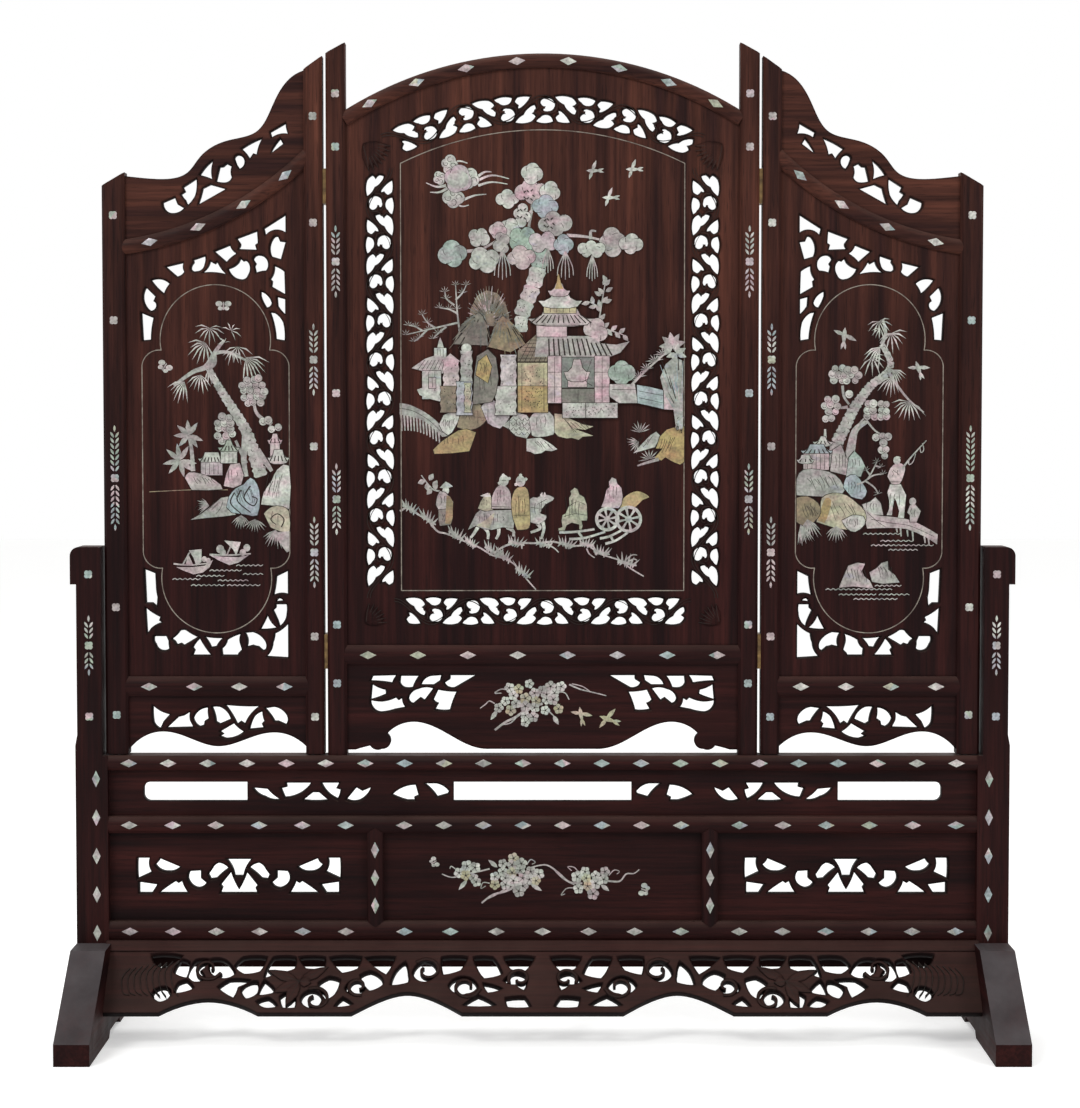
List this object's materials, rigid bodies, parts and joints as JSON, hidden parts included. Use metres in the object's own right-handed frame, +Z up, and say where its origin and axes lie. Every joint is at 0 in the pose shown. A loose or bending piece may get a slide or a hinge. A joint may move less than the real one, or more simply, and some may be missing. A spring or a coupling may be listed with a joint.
{
  "type": "folding table screen",
  "caption": "Three-leaf hardwood screen with carved fretwork and pearl inlay; the wings fold back on hinges and the screen lifts off a railed stand with shoe feet.",
  "frame": {"origin": "on the floor, under the middle of the stand", "axes": "+X to the right as the inlaid front is viewed, the front faces -Y, +Z up"},
  "size_m": [0.707, 0.242, 0.7425],
  "materials": {
    "teak": "satin polish",
    "peg_wood": "bare",
    "pearl": "polished, iridescent",
    "wire": "dulled",
    "brass": "aged"
  },
  "bodies": {
    "stand": {"foot_stretcher": "teak", "front_apron": "teak", "inlaid_bay_panel": "teak", "left_foot": "teak", "left_muntin": "teak", "left_pierced_bay_panel": "teak", "left_post": "teak", "left_post_inlay": "pearl", "muntin_diamonds": "pearl", "right_foot": "teak", "right_muntin": "teak", "right_pierced_bay_panel": "teak", "right_post": "teak", "right_post_inlay": "pearl", "slotted_frieze_panel": "teak", "stand_bottom_rail": "teak", "stand_bottom_rail_diamonds": "pearl", "stand_middle_rail": "teak", "stand_middle_rail_diamonds": "pearl", "stand_top_rail": "teak", "stand_top_rail_diamonds": "pearl"},
    "centre_leaf": {"centre_apron": "teak", "centre_arched_rail": "teak", "centre_field_wire": "wire", "centre_fretwork_panel": "teak", "centre_hinge_leaves": "brass", "centre_hinge_screws": "brass", "centre_left_stile": "teak", "centre_left_stile_inlay": "pearl", "centre_lower_rail": "teak", "centre_rail_diamonds": "pearl", "centre_right_stile": "teak", "centre_right_stile_inlay": "pearl", "hinge_pins": "brass", "locating_pegs": "peg_wood"},
    "left_wing": {"left_wing_apron": "teak", "left_wing_crest": "teak", "left_wing_curved_rail": "teak", "left_wing_field_wire": "wire", "left_wing_fretwork_panel": "teak", "left_wing_hinge_leaves": "brass", "left_wing_hinge_screws": "brass", "left_wing_inner_stile": "teak", "left_wing_lower_rail": "teak", "left_wing_outer_stile": "teak", "left_wing_rail_diamonds": "pearl", "left_wing_stile_inlay": "pearl"},
    "right_wing": {"right_wing_apron": "teak", "right_wing_crest": "teak", "right_wing_curved_rail": "teak", "right_wing_field_wire": "wire", "right_wing_fretwork_panel": "teak", "right_wing_hinge_leaves": "brass", "right_wing_hinge_screws": "brass", "right_wing_inner_stile": "teak", "right_wing_lower_rail": "teak", "right_wing_outer_stile": "teak", "right_wing_rail_diamonds": "pearl", "right_wing_stile_inlay": "pearl"}
  },
  "joints": [
    {"name": "screen_lift", "type": "slide", "parent": "stand", "child": "centre_leaf", "axis": [0, 0, 1], "range_m": [0, 0.165]},
    {"name": "right_wing_fold", "type": "hinge", "parent": "centre_leaf", "child": "right_wing", "pos_m": [0.16275, 0.0107, 0.46], "axis": [0, 0, 1], "range_deg": [0, 160]},
    {"name": "left_wing_fold", "type": "hinge", "parent": "centre_leaf", "child": "left_wing", "pos_m": [-0.16275, 0.0107, 0.46], "axis": [0, 0, -1], "range_deg": [0, 160]}
  ]
}
